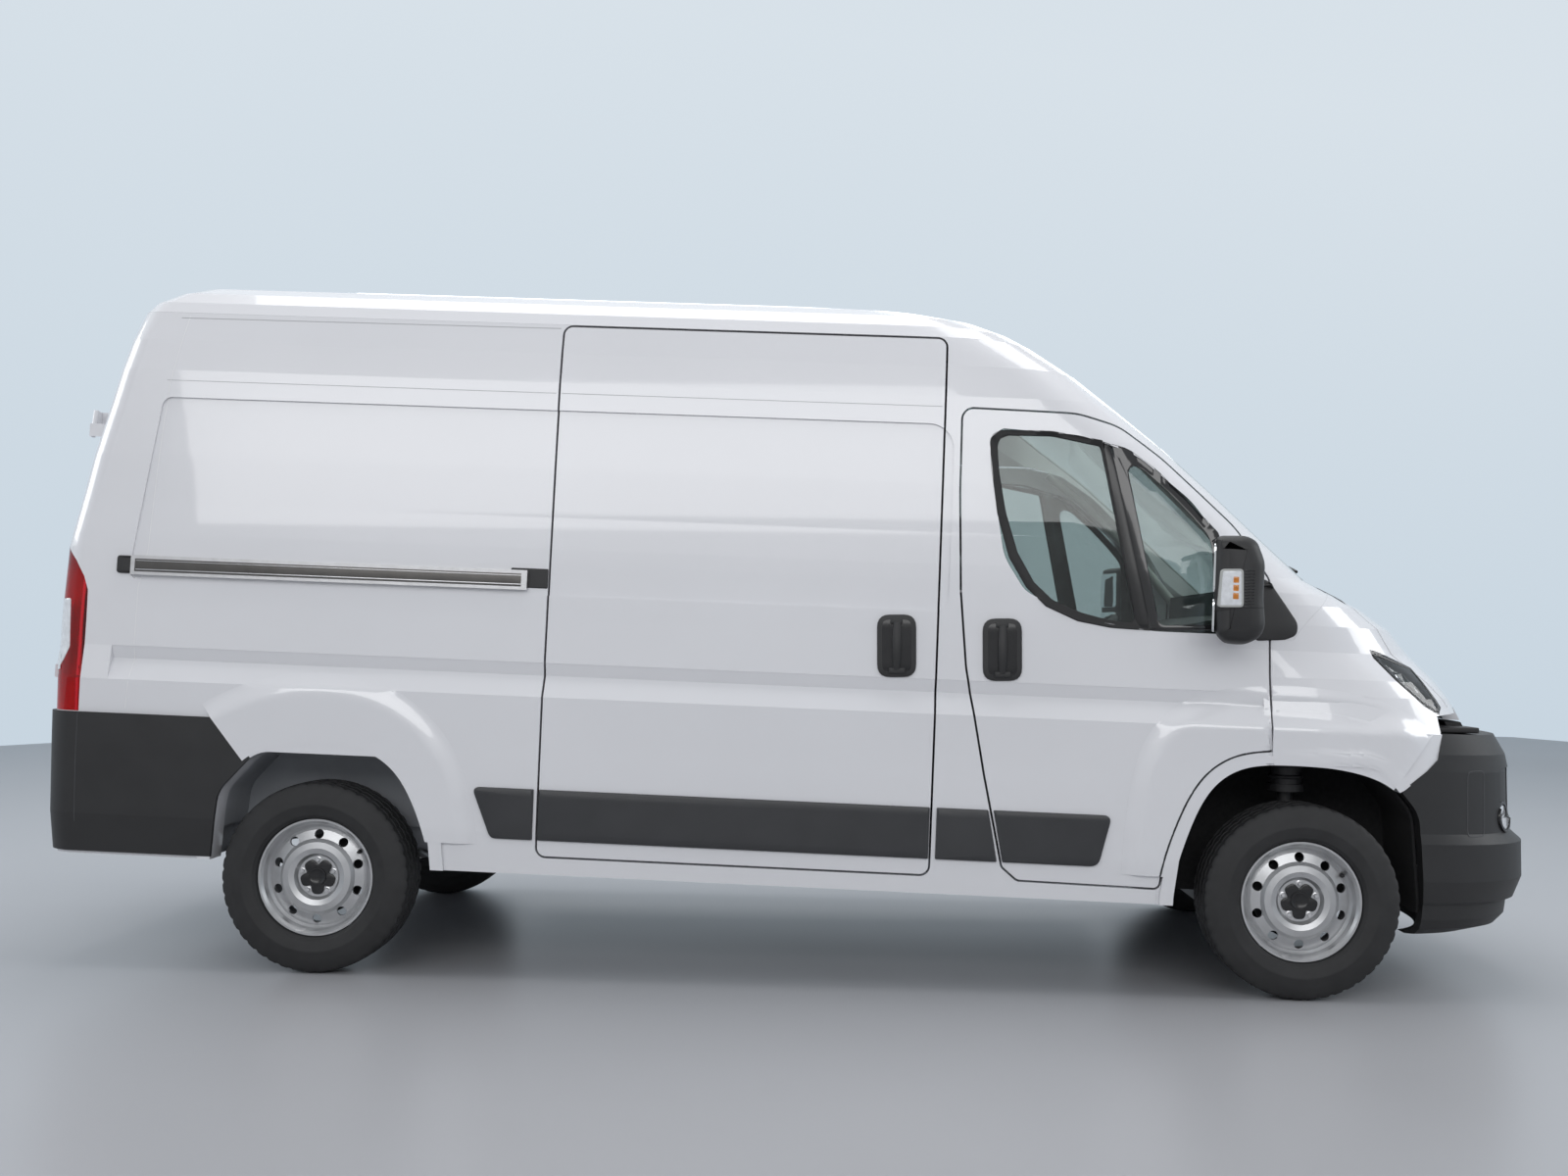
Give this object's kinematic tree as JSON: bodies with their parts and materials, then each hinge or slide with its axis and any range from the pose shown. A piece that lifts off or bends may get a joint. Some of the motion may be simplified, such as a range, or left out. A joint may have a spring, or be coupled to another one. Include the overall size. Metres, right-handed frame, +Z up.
{
  "type": "panel van",
  "caption": "High-roof panel van with steered front wheels, hinged cab doors, a bonnet, a closed sliding side door and twin rear load doors.",
  "frame": {"origin": "on the ground, midway between the bumpers on the centre plane", "axes": "+X points forward, +Y to the vehicle's left, +Z up"},
  "size_m": [5.4351, 2.514, 2.5074],
  "materials": {
    "paint": "gloss",
    "glass": "clear with a light green tint",
    "trim": "fine grain",
    "lamp": "clear cover over silver",
    "lamp_red": "clear red cover",
    "rail": "satin",
    "floor": "satin",
    "chassis": "satin",
    "liner": "matt",
    "interior": "fine grain",
    "fabric": "woven",
    "engine": "matt",
    "tank": "matt",
    "exhaust": "dull",
    "running_gear": "matt",
    "wheel_steel": "satin silver",
    "tyre": "matt"
  },
  "bodies": {
    "root": {"wing_right": "paint", "wing_left": "paint", "body_side_right": "paint", "body_side_left": "paint", "roof_panel": "paint", "windscreen": "glass", "firewall": "chassis", "front_bumper": "trim", "headlamps": "lamp", "tail_lamps": "lamp_red", "rear_bumper": "trim", "sliding_door": "paint", "slide_rail": "rail", "side_mouldings": "trim", "floor": "floor", "arch_liners": "liner", "dashboard": "interior", "bulkhead": "paint", "seats": "fabric", "steering_wheel": "interior", "engine": "engine", "radiator": "chassis", "fuel_tank": "tank", "exhaust": "exhaust", "front_subframe": "chassis", "rear_axle": "running_gear"},
    "steer_left": {"knuckle_left": "running_gear"},
    "steer_right": {"knuckle_right": "running_gear"},
    "front_wheel_left": {"wheel_front_left": "wheel_steel", "tyre_front_left": "tyre"},
    "front_wheel_right": {"wheel_front_right": "wheel_steel", "tyre_front_right": "tyre"},
    "rear_wheel_left": {"wheel_rear_left": "wheel_steel", "tyre_rear_left": "tyre"},
    "rear_wheel_right": {"wheel_rear_right": "wheel_steel", "tyre_rear_right": "tyre"},
    "cab_door_left": {"front_door_left": "paint", "door_glass_left": "glass", "door_trim_left": "trim"},
    "cab_door_right": {"front_door_right": "paint", "door_glass_right": "glass", "door_trim_right": "trim"},
    "load_door_left": {"rear_door_left": "paint"},
    "load_door_right": {"rear_door_right": "paint"},
    "bonnet_lid": {"bonnet": "paint"}
  },
  "joints": [
    {"name": "steer_left_turn", "type": "hinge", "parent": "root", "child": "steer_left", "pos_m": [1.7585, 0.77, 0.337], "axis": [0, 0, 1], "range_deg": [-36, 36]},
    {"name": "front_wheel_left_spin", "type": "hinge", "parent": "steer_left", "child": "front_wheel_left", "pos_m": [1.7585, 0.905, 0.337], "axis": [0, 1, 0], "continuous": true},
    {"name": "rear_wheel_left_spin", "type": "hinge", "parent": "root", "child": "rear_wheel_left", "pos_m": [-1.6915, 0.895, 0.337], "axis": [0, 1, 0], "continuous": true},
    {"name": "steer_right_turn", "type": "hinge", "parent": "root", "child": "steer_right", "pos_m": [1.7585, -0.77, 0.337], "axis": [0, 0, 1], "range_deg": [-36, 36]},
    {"name": "front_wheel_right_spin", "type": "hinge", "parent": "steer_right", "child": "front_wheel_right", "pos_m": [1.7585, -0.905, 0.337], "axis": [0, 1, 0], "continuous": true},
    {"name": "rear_wheel_right_spin", "type": "hinge", "parent": "root", "child": "rear_wheel_right", "pos_m": [-1.6915, -0.895, 0.337], "axis": [0, 1, 0], "continuous": true},
    {"name": "cab_door_right_swing", "type": "hinge", "parent": "root", "child": "cab_door_right", "pos_m": [1.56862, -0.994, 1.4047], "axis": [0.0232, 0, 0.9997], "range_deg": [0, 70]},
    {"name": "cab_door_left_swing", "type": "hinge", "parent": "root", "child": "cab_door_left", "pos_m": [1.56862, 0.994, 1.4047], "axis": [-0.0232, 0, -0.9997], "range_deg": [0, 70]},
    {"name": "load_door_right_swing", "type": "hinge", "parent": "root", "child": "load_door_right", "pos_m": [-2.66374, -0.835, 1.50296], "axis": [0.1127, 0, 0.9936], "range_deg": [0, 180]},
    {"name": "load_door_left_swing", "type": "hinge", "parent": "root", "child": "load_door_left", "pos_m": [-2.66374, 0.835, 1.50296], "axis": [-0.1127, 0, -0.9936], "range_deg": [0, 180]},
    {"name": "bonnet_lift", "type": "hinge", "parent": "root", "child": "bonnet_lid", "pos_m": [1.94755, 0, 1.41408], "axis": [0, -1, 0], "range_deg": [0, 55]}
  ],
  "couplings": [
    {"joint": "steer_right_turn", "follows": "steer_left_turn", "ratio": 1}
  ]
}
